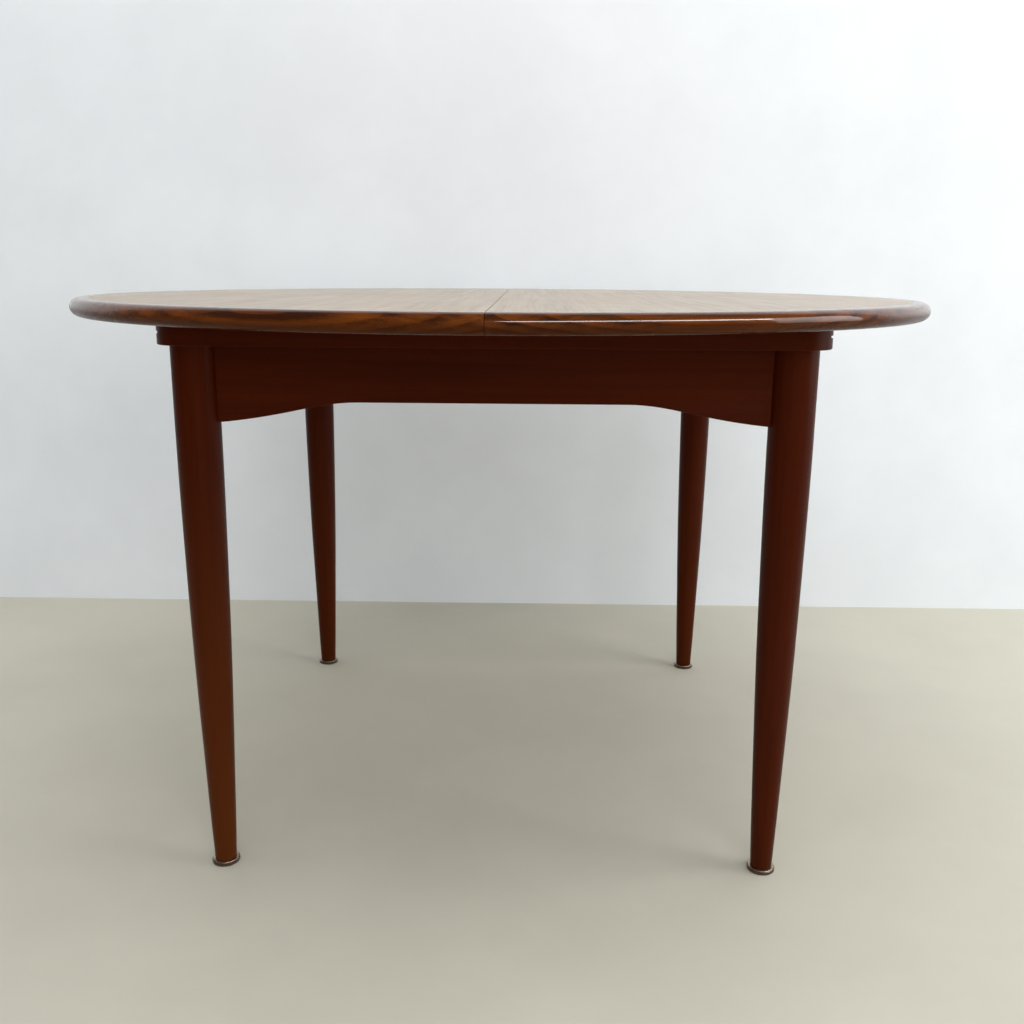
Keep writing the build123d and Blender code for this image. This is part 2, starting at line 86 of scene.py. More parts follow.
# Heights above the floor, in metres.
# Painted floor light on the legs: paler wood painted from the floor up to this height.
LEG_PAINTED_FLOOR_LIGHT_TOP = 0.55
# Painted shade on the lower lipping nose: full share below the first height, none above the second.
NOSE_PAINTED_SHADE = (0.7125, 0.7225)
NOSE_PAINTED_SHADE_SHARE = 0.7
NOSE_POLISH = (0.7160, 0.7235)
NOSE_COAT = (0.08, 0.75)
FOOT_SCUFF_TOP = 0.0035

# Foot discs: scuffs and dirt.
SPECK_CELLS = (420.0, 420.0, 420.0)
SPECK_SPAN = (0.45, 0.62)
SCUFF_COVERS = 0.45
SCUFF_ROUGHENS = 0.35

# Each plank's grain direction and place in its tree, and the pieces cut from shared planks.
FRAME_PLANKS = {
    "apron_front": ("X", (0.2, 0.0, -0.64)),
    "apron_back": ("X", (0.9, 0.1, -0.62)),
    "apron_left": ("Y", (0.5, 0.2, -0.60)),
    "apron_right": ("Y", (1.3, 0.3, -0.63)),
    "rail_board_front": ("X", (0.4, 0.05, -0.69)),
    "rail_board_back": ("X", (1.1, 0.15, -0.68)),
}
INNER_PLANKS = {
    "runners": ("X", (0.1, 0.0, -0.69)),
    "stop_blocks": ("X", (0.7, 0.1, -0.67)),
    "corner_blocks": ("X", (0.3, 0.2, -0.66)),
    "stretcher": ("Y", (0.6, 0.0, -0.66)),
    "seam_pegs": ("X", (0.2, 0.3, -0.70)),
    "stop_pins": ("Z", (0.5, 0.4, 0.0)),
}
INNER_PIECES = {
    "runners": [f"runner_{corner}" for corner in CORNERS],
    "stop_blocks": [f"stop_block_{corner}" for corner in CORNERS],
    "corner_blocks": [f"corner_block_{corner}" for corner in CORNERS],
    "stretcher": ["stretcher"],
    "seam_pegs": ["seam_pegs"],
    "stop_pins": [f"stop_pins_{side}" for side in SIDES],
}
LEG_STEP = 0.31
LEG_GRAIN = {"ring_width": 0.0065, "pith": 0.42, "slope": 0.02, "gloss": 0.33}
# How much painted floor light each leg gets near the floor.
LEG_PAINTED_FLOOR_LIGHT = {"front_left": 0.38, "front_right": 0.04, "back_left": 0.12, "back_right": 0.12}

# Backdrop and camera; then each light's place, the point it is aimed at, and its size, in metres.
BACKDROP_REACH = 6.0
BACKDROP_HEIGHT = 5.0
BACKDROP_NEAR = -8.0
BACKDROP_CUTS = 7
PLASTER_CELLS = (3.0, 3.0, 3.0)
PLASTER_SPAN = (0.3, 0.7)
PLASTER_VALUES = (0.97, 1.03)
SENSOR_WIDTH_MM = 36.0
CLIP_START = 0.01
SKY_COLOUR = (0.93, 0.96, 1.0, 1.0)
SOFT_LIGHTS = {
    "top": ((0.2, -0.7, 3.0), (0.0, 0.3, 0.5), (3.6, 1.8)),
    "strip": ((1.5, -2.2, 2.0), (0.62, -0.99, 0.7), (3.4, 0.38)),
    "right": ((3.0, -0.6, 1.3), (-0.5, 0.5, 0.6), (1.6, 1.8)),
    "left": ((-3.2, -0.4, 1.3), (0.3, 0.6, 0.5), (1.6, 1.8)),
    "fill": ((0.6, -3.9, 1.6), (0.1, 0.7, 0.7), (3.0, 2.4)),
}
SEEN_IN_GLOSS = ("strip", "right")
GLOSS_ONLY = ("strip",)


# ------------------------------------------------------------------ settings

def colour_setting(name, default, description):
    return FloatVectorProperty(
        name=name, description=description, default=default, subtype="COLOR", size=3,
        min=0.0, max=1.0,
    )


def length_setting(name, default, description):
    return FloatProperty(
        name=name, description=description, default=default, unit="LENGTH", subtype="DISTANCE",
    )


def angle_setting(name, default, description):
    return FloatProperty(name=name, description=description, default=default, subtype="ANGLE")


def power_setting(name, default, description):
    return FloatProperty(name=name, description=description, default=default, unit="POWER")


class TableWoodSettings(PropertyGroup):
    """Colours and grain of the woods."""

    veneer_pale: colour_setting("Veneer pale", (0.355, 0.210, 0.066), "Early wood of the top")
    veneer_deep: colour_setting("Veneer deep", (0.262, 0.145, 0.042), "Late wood of the top")
    lipping_pale: colour_setting("Lipping pale", (0.160, 0.040, 0.0040), "Orange tone of lipping")
    # Deep lipping colour: dark streaks, and also the painted shade on the lower nose.
    lipping_deep_and_shade: colour_setting("Lipping deep", (0.036, 0.0075, 0.0007), "Dark streaks of lipping and its painted shade")
    frame_pale: colour_setting("Frame pale", (0.055, 0.0070, 0.0005), "Early wood of the frame")
    frame_deep: colour_setting("Frame deep", (0.040, 0.0046, 0.0003), "Late wood of the frame")
    # Painted floor light: the paler colour the legs are mixed towards near the floor.
    frame_painted_floor_light: colour_setting("Frame painted floor light", (0.155, 0.043, 0.006), "Painted floor light low on the legs")
    pore: colour_setting("Pores", (0.018, 0.0036, 0.0008), "Open pores of the dark wood")
    inner_pale: colour_setting("Inner pale", (0.560, 0.370, 0.200), "Hardwood of inner parts")
    inner_deep: colour_setting("Inner deep", (0.370, 0.215, 0.105), "Streaks of that hardwood")
    inner_fleck: colour_setting("Inner flecks", (0.250, 0.125, 0.055), "Flecks of that hardwood")
    leaf_width: length_setting("Veneer leaf", 0.150, "Width of one book-matched veneer leaf")
    lipping_parts: IntProperty(
        name="Lipping parts", description="Sawn pieces round the whole edge", default=8, min=4,
    )


class TableMetalSettings(PropertyGroup):
    """Colours of the fittings and the feet."""

    brass: colour_setting("Brass", (0.640, 0.430, 0.160), "Clean brass of the catches")
    brass_tarnish: colour_setting("Brass tarnish", (0.210, 0.120, 0.050), "Darkened brass")
    steel: colour_setting("Steel", (0.560, 0.560, 0.550), "Steel of screws, bolts and strips")
    steel_tarnish: colour_setting("Steel tarnish", (0.210, 0.175, 0.145), "Dulled steel")
    foot_ring: colour_setting("Foot ring", (0.560, 0.440, 0.360), "Rim above each foot disc")
    foot: colour_setting("Foot", (0.050, 0.024, 0.015), "Dark moulded foot discs")
    foot_scuff: colour_setting("Foot scuffs", (0.20, 0.17, 0.14), "Scuffs low on the foot discs")


class TableStudioSettings(PropertyGroup):
    """Camera, backdrop and lights."""

    camera_place: FloatVectorProperty(
        name="Camera place", description="Where the camera stands",
        default=(0.04358, -1.57227, 0.76996), size=3, unit="LENGTH", subtype="TRANSLATION",
    )
    camera_yaw: angle_setting("Yaw", -0.016782, "Turn to the right")
    camera_pitch: angle_setting("Pitch", 0.233041, "Turn downwards")
    camera_roll: angle_setting("Roll", 0.006551, "Lean of the camera")
    lens: FloatProperty(
        name="Lens", description="Focal length on a 36 mm sensor", default=36.035, unit="CAMERA",
    )
    wall_y: length_setting("Wall", 0.738, "Distance of the wall behind the table's middle")
    wall: colour_setting("Wall colour", (0.830, 0.865, 0.905), "Pale wall")
    floor: colour_setting("Floor colour", (0.635, 0.615, 0.515), "Pale floor")
    top_power: power_setting("Top light", 52.0, "Soft light from above")
    strip_power: power_setting("Strip", 76.0, "Long light seen only in gloss")
    right_power: power_setting("Right light", 38.0, "Soft light from the right")
    left_power: power_setting("Left light", 12.0, "Soft light from the left")
    fill_power: power_setting("Fill", 68.0, "Wide light from the front")
    sky: FloatProperty(
        name="Surroundings", description="Strength of the pale surroundings", default=0.10,
    )


# ------------------------------------------------------------- node building

def set_socket(tree, socket, value):
    """Link a socket to another node's output, or set its value."""
    if isinstance(value, NodeSocket):
        tree.links.new(value, socket)
    else:
        socket.default_value = value


def put(tree, kind, ins=None, **settings):
    """Add a node, set its properties, and set or link its inputs."""
    node = tree.nodes.new(kind)
    for name, value in settings.items():
        setattr(node, name, value)
    for key, value in (ins or {}).items():
        set_socket(tree, node.inputs[key], value)
    column, row = divmod(len(tree.nodes), 5)
    node.location = (column * 190, -row * 190)
    return node


def sum_of(tree, operation, *values):
    """One Math node; returns its output."""
    return put(tree, "ShaderNodeMath", dict(enumerate(values)), operation=operation).outputs[0]


def stretched(tree, place, scale):
    """A place vector scaled on each axis."""
    return put(tree, "ShaderNodeVectorMath", {0: place, 1: scale}, operation="MULTIPLY").outputs[0]


def spun_about_z(tree, place, angle):
    """A place vector turned about Z."""
    ins = {"Vector": place, "Angle": angle}
    return put(tree, "ShaderNodeVectorRotate", ins, rotation_type="Z_AXIS").outputs[0]


def height_of(tree, place):
    """Height above the floor."""
    return put(tree, "ShaderNodeSeparateXYZ", {0: place}).outputs[2]


def noise(tree, place, scale, detail=2.0, roughness=0.5):
    """Noise with the given number of cells per metre on each axis."""
    ins = {"Scale": 1.0, "Detail": detail, "Roughness": roughness}
    ins["Vector"] = stretched(tree, place, scale)
    return put(tree, "ShaderNodeTexNoise", ins).outputs[0]


def ramp(tree, value, low, high, to_low=0.0, to_high=1.0, kind="SMOOTHSTEP"):
    """Value between low and high, spread over a new range."""
    ins = {0: value, 1: low, 2: high, 3: to_low, 4: to_high}
    return put(tree, "ShaderNodeMapRange", ins, interpolation_type=kind).outputs[0]


def mixed(tree, share, first, second):
    """Mix of two colours."""
    node = put(tree, "ShaderNodeMix", data_type="RGBA")
    for index, value in ((0, share), (6, first), (7, second)):
        set_socket(tree, node.inputs[index], value)
    return node.outputs[2]


def start_group(name, inputs, outputs):
    """An empty shader node group with named sockets."""
    tree = bpy.data.node_groups.new(name, "ShaderNodeTree")
    for label, kind, value in inputs:
        socket = tree.interface.new_socket(label, in_out="INPUT", socket_type=f"NodeSocket{kind}")
        if value is not None:
            socket.default_value = value
    for label, kind in outputs:
        tree.interface.new_socket(label, in_out="OUTPUT", socket_type=f"NodeSocket{kind}")
    return tree, tree.nodes.new("NodeGroupInput").outputs


def end_group(tree, values):
    """Link a group's outputs."""
    out = put(tree, "NodeGroupOutput")
    for label, value in values.items():
        tree.links.new(value, out.inputs[label])
    return tree


# ------------------------------------------------------------ shared effects

def wood_grain_group():
    """Growth rings, streaks, fibres and pores; the grain runs along the place vector's X."""
    tree, given = start_group(
        "Wood grain",
        [("Place", "Vector", None), ("Ring Width", "Float", 0.006), ("Pith", "Float", 0.25),
         ("Slope", "Float", 0.03), ("Wander", "Float", 0.02), ("Ring Strength", "Float", 0.4),
         ("Pale", "Color", None), ("Deep", "Color", None), ("Pore", "Color", None),
         ("Pore Amount", "Float", 0.6), ("Gloss", "Float", 0.35)],
        [("Color", "Color"), ("Roughness", "Float"), ("Height", "Float")],
    )
    place = given["Place"]
    axes = put(tree, "ShaderNodeSeparateXYZ", {0: place}).outputs
    slow = sum_of(tree, "SUBTRACT", noise(tree, place, BEND_CELLS), 0.5)
    bend = sum_of(tree, "MULTIPLY", slow, given["Wander"])
    lean = sum_of(tree, "MULTIPLY_ADD", axes[0], given["Slope"], given["Pith"])
    depth = sum_of(tree, "ADD", sum_of(tree, "ADD", axes[2], lean), bend)
    across = sum_of(tree, "ADD", axes[1], bend)
    from_pith = put(tree, "ShaderNodeCombineXYZ", {0: across, 1: depth}).outputs[0]
    radius = put(tree, "ShaderNodeVectorMath", {0: from_pith}, operation="LENGTH").outputs["Value"]
    ring = sum_of(tree, "DIVIDE", radius, given["Ring Width"])
    saw = sum_of(tree, "FRACT", ring)
    fall = ramp(tree, saw, *LATE_FALL, 1.0, 0.0)
    late = sum_of(tree, "MULTIPLY", ramp(tree, saw, *LATE_RISE), fall)
    number = {"W": sum_of(tree, "FLOOR", ring)}
    year = put(tree, "ShaderNodeTexWhiteNoise", number, noise_dimensions="1D").outputs[0]
    strength = ramp(tree, year, 0.0, 1.0, FAINTEST_YEAR, 1.0, "LINEAR")
    late = sum_of(tree, "MULTIPLY", late, strength)
    streak = noise(tree, place, STREAK_CELLS, 4.0, 0.6)
    fibre = noise(tree, place, FIBRE_CELLS, 2.0, 0.6)
    tone = sum_of(tree, "MULTIPLY_ADD", late, given["Ring Strength"], streak)
    tone = sum_of(tree, "MULTIPLY_ADD", fibre, FIBRE_TONE, tone)
    wood = mixed(tree, ramp(tree, tone, *TONE_SPAN), given["Pale"], given["Deep"])
    broad = ramp(tree, noise(tree, place, BROAD_CELLS), *BROAD_SPAN, *BROAD_VALUES)
    wood = put(tree, "ShaderNodeHueSaturation", {"Color": wood, "Value": broad}).outputs[0]
    pore = ramp(tree, noise(tree, place, PORE_CELLS, 1.0), *PORE_SPAN)
    pore = sum_of(tree, "MULTIPLY", pore, given["Pore Amount"])
    wood = mixed(tree, pore, wood, given["Pore"])
    gloss = sum_of(tree, "MULTIPLY_ADD", pore, PORE_ROUGHENS, given["Gloss"])
    uneven = sum_of(tree, "SUBTRACT", streak, 0.5)
    gloss = sum_of(tree, "MULTIPLY_ADD", uneven, STREAK_ROUGHENS, gloss)
    raised = sum_of(tree, "MULTIPLY", fibre, FIBRE_HEIGHT)
    height = sum_of(tree, "MULTIPLY_ADD", pore, -1.0, raised)
    height = sum_of(tree, "MULTIPLY_ADD", late, LATE_HEIGHT, height)
    return end_group(tree, {"Color": wood, "Roughness": gloss, "Height": height})


def veneer_leaves_group():
    """Book-matched leaves whose joints run along Y; gives the turned place and the joints."""
    tree, given = start_group(
        "Veneer leaves", [("Place", "Vector", None), ("Leaf Width", "Float", 0.15)],
        [("Place", "Vector"), ("Joint", "Float")],
    )
    axes = put(tree, "ShaderNodeSeparateXYZ", {0: given["Place"]}).outputs
    folded = sum_of(tree, "PINGPONG", axes[0], given["Leaf Width"])
    pair = sum_of(tree, "FLOOR", sum_of(tree, "DIVIDE", axes[0], given["Leaf Width"]))
    drift = sum_of(tree, "MULTIPLY", pair, LEAF_DRIFT)
    rest = sum_of(tree, "SUBTRACT", given["Leaf Width"], folded)
    from_joint = sum_of(tree, "MINIMUM", folded, rest)
    centre = sum_of(tree, "MULTIPLY", given["Leaf Width"], LEAF_CENTRE)
    across = sum_of(tree, "ADD", sum_of(tree, "SUBTRACT", folded, centre), drift)
    place = put(tree, "ShaderNodeCombineXYZ", {0: axes[1], 1: across, 2: axes[2]})
    joint = ramp(tree, from_joint, *LEAF_JOINT, 1.0, 0.0)
    return end_group(tree, {"Place": place.outputs[0], "Joint": joint})


def lipping_parts_group():
    """Straight grain, along the edge, for each sawn part of the lipping; marks the joints."""
    tree, given = start_group(
        "Lipping parts", [("Place", "Vector", None), ("Parts", "Float", 8.0)],
        [("Place", "Vector"), ("Joint", "Float")],
    )
    axes = put(tree, "ShaderNodeSeparateXYZ", {0: given["Place"]}).outputs
    angle = sum_of(tree, "ARCTAN2", axes[1], axes[0])
    step = sum_of(tree, "DIVIDE", 2 * math.pi, given["Parts"])
    shifted = sum_of(tree, "DIVIDE", sum_of(tree, "ADD", angle, math.pi / 2), step)
    part = sum_of(tree, "FLOOR", shifted)
    middle = sum_of(tree, "MULTIPLY", sum_of(tree, "ADD", part, 0.5), step)
    turn = sum_of(tree, "SUBTRACT", 0.0, middle)
    spun = put(tree, "ShaderNodeSeparateXYZ", {0: spun_about_z(tree, given["Place"], turn)}).outputs
    lifted = sum_of(tree, "MULTIPLY_ADD", part, PART_LIFT, spun[2])
    place = put(tree, "ShaderNodeCombineXYZ", {0: spun[0], 1: spun[1], 2: lifted}).outputs[0]
    within = sum_of(tree, "FRACT", shifted)
    edge = sum_of(tree, "MINIMUM", within, sum_of(tree, "SUBTRACT", 1.0, within))
    joint = ramp(tree, edge, *PART_JOINT, 1.0, 0.0)
    return end_group(tree, {"Place": place, "Joint": joint})


def handling_marks_group():
    """Soft smears and fine scratches in a polished film."""
    tree, given = start_group(
        "Handling marks",
        [("Place", "Vector", None), ("Gloss", "Float", 0.35), ("Amount", "Float", 0.1)],
        [("Roughness", "Float")],
    )
    place = given["Place"]
    smear = noise(tree, place, SMEAR_CELLS, 4.0, 0.65)
    smear = ramp(tree, smear, *SMEAR_SPAN, *SMEAR_CHANGE)
    along = noise(tree, place, SCRATCH_CELLS, 1.0)
    bent = spun_about_z(tree, place, CROSS_SCRATCH_TURN)
    across = noise(tree, bent, CROSS_SCRATCH_CELLS, 1.0)
    scratch = ramp(tree, sum_of(tree, "MAXIMUM", along, across), *SCRATCH_SPAN)
    change = sum_of(tree, "MULTIPLY_ADD", scratch, SCRATCH_ROUGHENS, smear)
    gloss = sum_of(tree, "MULTIPLY_ADD", change, given["Amount"], given["Gloss"])
    return end_group(tree, {"Roughness": gloss})


def worked_metal_group():
    """Metal with fine drawn lines and patches of tarnish."""
    tree, given = start_group(
        "Worked metal",
        [("Place", "Vector", None), ("Clean", "Color", None), ("Tarnish", "Color", None),
         ("Tarnish Amount", "Float", 0.5), ("Gloss", "Float", 0.3)],
        [("Color", "Color"), ("Roughness", "Float"), ("Height", "Float")],
    )
    place = given["Place"]
    lines = noise(tree, place, LINE_CELLS, 2.0)
    patch = ramp(tree, noise(tree, place, TARNISH_CELLS, 4.0, 0.65), *TARNISH_SPAN)
    patch = sum_of(tree, "MULTIPLY", patch, given["Tarnish Amount"])
    colour = mixed(tree, patch, given["Clean"], given["Tarnish"])
    value = ramp(tree, lines, *LINE_SPAN, *LINE_VALUES)
    colour = put(tree, "ShaderNodeHueSaturation", {"Color": colour, "Value": value})
    gloss = sum_of(tree, "MULTIPLY_ADD", patch, TARNISH_ROUGHENS, given["Gloss"])
    gloss = sum_of(tree, "MULTIPLY_ADD", lines, LINE_ROUGHENS, gloss)
    return end_group(tree, {"Color": colour.outputs[0], "Roughness": gloss, "Height": lines})


GROUP_MAKERS = {
    "Wood grain": wood_grain_group,
    "Veneer leaves": veneer_leaves_group,
    "Lipping parts": lipping_parts_group,
    "Handling marks": handling_marks_group,
    "Worked metal": worked_metal_group,
}


def use_effect(tree, name, **inputs):
    """Place a shared effect, building it the first time, and return its outputs."""
    group = bpy.data.node_groups.get(name) or GROUP_MAKERS[name]()
    node = put(tree, "ShaderNodeGroup", None, node_tree=group)
    for label, value in inputs.items():
        set_socket(tree, node.inputs[label.replace("_", " ")], value)
    return node.outputs


# ----------------------------------------------------------------- materials

def start_material(name):
    """A material with only a Principled shader; also its tree, shader and place vector."""
    material = bpy.data.materials.new(name)
    material.use_nodes = True
    tree = material.node_tree
    shader = tree.nodes["Principled BSDF"]
    place = put(tree, "ShaderNodeTexCoord").outputs["Object"]
    return material, tree, shader, place


def with_alpha(colour):
    return (*colour, 1.0)


def finish_surface(tree, shader, colour, roughness, height, bump, distance):
    """Link colour, roughness and bump to the shader."""
    tree.links.new(colour, shader.inputs["Base Color"])
    tree.links.new(roughness, shader.inputs["Roughness"])
    ins = {"Strength": bump, "Distance": distance, "Height": height}
    tree.links.new(put(tree, "ShaderNodeBump", ins).outputs[0], shader.inputs["Normal"])


def lacquer(tree, shader, coat, coat_roughness):
    """Clear film over the wood."""
    set_socket(tree, shader.inputs["Coat Weight"], coat)
    shader.inputs["Coat Roughness"].default_value = coat_roughness
    shader.inputs["Coat IOR"].default_value = 1.5


def turned_place(tree, place, grain, offset):
    """Place vector turned so that the grain runs along X, moved to its own bit of the plank."""
    ins = {"Vector": place, "Location": offset, "Rotation": TURN_TO_GRAIN[grain]}
    return put(tree, "ShaderNodeMapping", ins).outputs[0]


def dark_wood(
    name, grain, offset, ring_width=0.0055, pith=0.12, slope=0.03, gloss=0.38, painted_floor_light=0.0,
):
    """Solid dark wood of the frame, oiled and waxed, with painted floor light making it paler
    towards the floor.
    """
    woods = bpy.context.scene.table_wood
    material, tree, shader, place = start_material(name)
    plank = turned_place(tree, place, grain, offset)
    wood = use_effect(
        tree, "Wood grain", Place=plank, Ring_Width=ring_width, Pith=pith, Slope=slope, Gloss=gloss,
        Wander=0.02, Ring_Strength=0.16, Pore_Amount=0.55, Pale=with_alpha(woods.frame_pale),
        Deep=with_alpha(woods.frame_deep), Pore=with_alpha(woods.pore),
    )
    marks = use_effect(tree, "Handling marks", Place=plank, Gloss=wood["Roughness"], Amount=0.05)
    # Painted floor light: mixes the wood towards a paler colour near the floor.
    share = ramp(tree, height_of(tree, place), 0.0, LEG_PAINTED_FLOOR_LIGHT_TOP, painted_floor_light, 0.0, "LINEAR")
    colour = mixed(tree, share, wood["Color"], with_alpha(woods.frame_painted_floor_light))
    relief = {"height": wood["Height"], "bump": 0.22, "distance": 0.0004}
    finish_surface(tree, shader, colour, marks["Roughness"], **relief)
    shader.inputs["Specular IOR Level"].default_value = 0.06
    return material


def pale_wood(name, grain, offset):
    """Pale hardwood of the hidden parts, planed and left bare."""
    woods = bpy.context.scene.table_wood
    material, tree, shader, place = start_material(name)
    plank = turned_place(tree, place, grain, offset)
    wood = use_effect(
        tree, "Wood grain", Place=plank, Ring_Width=0.0045, Pith=0.09, Slope=0.02, Wander=0.015,
        Ring_Strength=0.22, Pale=with_alpha(woods.inner_pale), Deep=with_alpha(woods.inner_deep),
        Pore=with_alpha(woods.inner_fleck), Pore_Amount=0.45, Gloss=0.62,
    )
    relief = {"height": wood["Height"], "bump": 0.3, "distance": 0.0004}
    finish_surface(tree, shader, wood["Color"], wood["Roughness"], **relief)
    return material


def veneer_material():
    """Book-matched veneer of the top under a worn satin lacquer."""
    woods = bpy.context.scene.table_wood
    material, tree, shader, place = start_material("Veneered top")
    leaves = use_effect(tree, "Veneer leaves", Place=place, Leaf_Width=woods.leaf_width)
    wood = use_effect(
        tree, "Wood grain", Place=leaves["Place"], Ring_Width=0.0056, Pith=-0.715, Slope=0.035,
        Wander=0.03, Ring_Strength=0.34, Pore_Amount=0.45, Gloss=0.34,
        Pale=with_alpha(woods.veneer_pale), Deep=with_alpha(woods.veneer_deep),
        Pore=with_alpha(woods.pore),
    )
    share = sum_of(tree, "MULTIPLY", leaves["Joint"], 0.55)
    joined = mixed(tree, share, wood["Color"], with_alpha(woods.pore))
    marks = use_effect(tree, "Handling marks", Place=place, Gloss=wood["Roughness"], Amount=0.03)
    relief = {"height": wood["Height"], "bump": 0.30, "distance": 0.0004}
    finish_surface(tree, shader, joined, marks["Roughness"], **relief)
    lacquer(tree, shader, coat=0.45, coat_roughness=0.14)
    return material


def lipping_material():
    """Lipping sawn from straight planks: painted shade darkens it below, and it is polished on the
    upper nose only.
    """
    woods = bpy.context.scene.table_wood
    material, tree, shader, place = start_material("Solid lipping")
    parts = use_effect(tree, "Lipping parts", Place=place, Parts=float(woods.lipping_parts))
    plank = parts["Place"]
    wood = use_effect(
        tree, "Wood grain", Place=plank, Ring_Width=0.0085, Pith=0.21, Slope=0.006, Wander=0.010,
        Ring_Strength=0.36, Pore_Amount=0.5, Gloss=0.26, Pale=with_alpha(woods.lipping_pale),
        Deep=with_alpha(woods.lipping_deep_and_shade), Pore=with_alpha(woods.pore),
    )
    height = height_of(tree, place)
    # Painted shade: the lower nose is mixed towards the deep colour.
    painted_shade = ramp(tree, height, *NOSE_PAINTED_SHADE, NOSE_PAINTED_SHADE_SHARE, 0.0)
    shaded_wood = mixed(tree, painted_shade, wood["Color"], with_alpha(woods.lipping_deep_and_shade))
    share = sum_of(tree, "MULTIPLY", parts["Joint"], 0.6)
    joined = mixed(tree, share, shaded_wood, with_alpha(woods.pore))
    marks = use_effect(tree, "Handling marks", Place=plank, Gloss=wood["Roughness"], Amount=0.05)
    relief = {"height": wood["Height"], "bump": 0.12, "distance": 0.0003}
    finish_surface(tree, shader, joined, marks["Roughness"], **relief)
    coat = ramp(tree, height, *NOSE_POLISH, *NOSE_COAT)
    lacquer(tree, shader, coat, coat_roughness=0.06)
    shader.inputs["Specular IOR Level"].default_value = 0.05
    return material


def metal_material(name, clean, tarnish, amount, gloss):
    material, tree, shader, place = start_material(name)
    metal = use_effect(
        tree, "Worked metal", Place=place, Clean=with_alpha(clean), Tarnish=with_alpha(tarnish),
        Tarnish_Amount=amount, Gloss=gloss,
    )
    relief = {"height": metal["Height"], "bump": 0.15, "distance": 0.0002}
    finish_surface(tree, shader, metal["Color"], metal["Roughness"], **relief)
    shader.inputs["Metallic"].default_value = 1.0
    return material


def foot_material():
    """Dark moulded foot, scuffed where it meets the floor."""
    metals = bpy.context.scene.table_metal
    material, tree, shader, place = start_material("Dark foot")
    speck = noise(tree, place, SPECK_CELLS, 3.0, 0.6)
    low = ramp(tree, height_of(tree, place), 0.0, FOOT_SCUFF_TOP, 1.0, 0.0)
    scuff = sum_of(tree, "MULTIPLY", low, ramp(tree, speck, *SPECK_SPAN))
    share = sum_of(tree, "MULTIPLY", scuff, SCUFF_COVERS)
    colour = mixed(tree, share, with_alpha(metals.foot), with_alpha(metals.foot_scuff))
    marks = use_effect(tree, "Handling marks", Place=place, Gloss=0.24, Amount=0.12)
    rough = sum_of(tree, "MULTIPLY_ADD", scuff, SCUFF_ROUGHENS, marks["Roughness"])
    finish_surface(tree, shader, colour, rough, speck, bump=0.12, distance=0.0002)
    return material


def dress(names, material):
    """Give CAD nodes a material."""
    for name in names:
        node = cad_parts[name]
        if not node.material_slots:
            node.data.materials.append(material)
        for slot in node.material_slots:
            slot.material = material


def dress_planks(names):
    """Give each named plank of the frame its own dark wood."""
    for name in names:
        grain, offset = FRAME_PLANKS[name]
        dress([name], dark_wood(name.replace("_", " ").capitalize(), grain, offset))


# ----------------------------------------------------------------- operators

class TABLE_OT_camera(Operator):
    """Place the camera in front of the table"""

    bl_idname = "table.camera"
    bl_label = "Place Camera"

    def execute(self, context):
        studio = context.scene.table_studio
        yaw, pitch, roll = studio.camera_yaw, studio.camera_pitch, studio.camera_roll
        reach = math.cos(pitch)
        ahead = Vector((math.sin(yaw) * reach, math.cos(yaw) * reach, -math.sin(pitch)))
        level = Vector((math.cos(yaw), -math.sin(yaw), 0.0))
        above = level.cross(ahead)
        across = level * math.cos(roll) + above * math.sin(roll)
        upward = above * math.cos(roll) - level * math.sin(roll)
        camera = bpy.data.objects.new("camera", bpy.data.cameras.new("camera"))
        context.scene.collection.objects.link(camera)
        facing = Matrix((across, upward, -ahead)).transposed().to_4x4()
        camera.matrix_world = Matrix.Translation(studio.camera_place) @ facing
        camera.data.lens = studio.lens
        camera.data.sensor_width = SENSOR_WIDTH_MM
        camera.data.clip_start = CLIP_START
        context.scene.camera = camera
        return {"FINISHED"}


class TABLE_OT_top(Operator):
    """Veneer both halves of the top and finish their lipping"""

    bl_idname = "table.top"
    bl_label = "Finish Top Halves"

    def execute(self, context):
        dress([f"top_panel_{side}" for side in SIDES], veneer_material())
        dress([f"top_lipping_{side}" for side in SIDES], lipping_material())
        return {"FINISHED"}


class TABLE_OT_legs(Operator):
    """Finish the four turned legs"""

    bl_idname = "table.legs"
    bl_label = "Finish Legs"

    def execute(self, context):
        for index, corner in enumerate(CORNERS):
            offset = (LEG_STEP * index, 0.0, 0.0)
            # Each leg gets its own share of painted floor light near the floor.
            leg = dark_wood(f"Turned leg {corner}", "Z", offset, painted_floor_light=LEG_PAINTED_FLOOR_LIGHT[corner], **LEG_GRAIN)
            dress([f"leg_{corner}"], leg)
        return {"FINISHED"}


class TABLE_OT_aprons(Operator):
    """Finish the four arched aprons"""

    bl_idname = "table.aprons"
    bl_label = "Finish Aprons"

    def execute(self, context):
        dress_planks([f"apron_{side}" for side in ENDS + SIDES])
        return {"FINISHED"}


class TABLE_OT_rail_boards(Operator):
    """Finish the two rail boards with rounded ends"""

    bl_idname = "table.rail_boards"
    bl_label = "Finish Rail Boards"

    def execute(self, context):
        dress_planks([f"rail_board_{end}" for end in ENDS])
        return {"FINISHED"}


class TABLE_OT_inner_wood(Operator):
    """Finish the runners, stops, corner blocks, stretcher and pegs"""

    bl_idname = "table.inner_wood"
    bl_label = "Finish Inner Wood"

    def execute(self, context):
        for pieces, (grain, offset) in INNER_PLANKS.items():
            wood = pale_wood(pieces.replace("_", " ").capitalize(), grain, offset)
            dress(INNER_PIECES[pieces], wood)
        return {"FINISHED"}


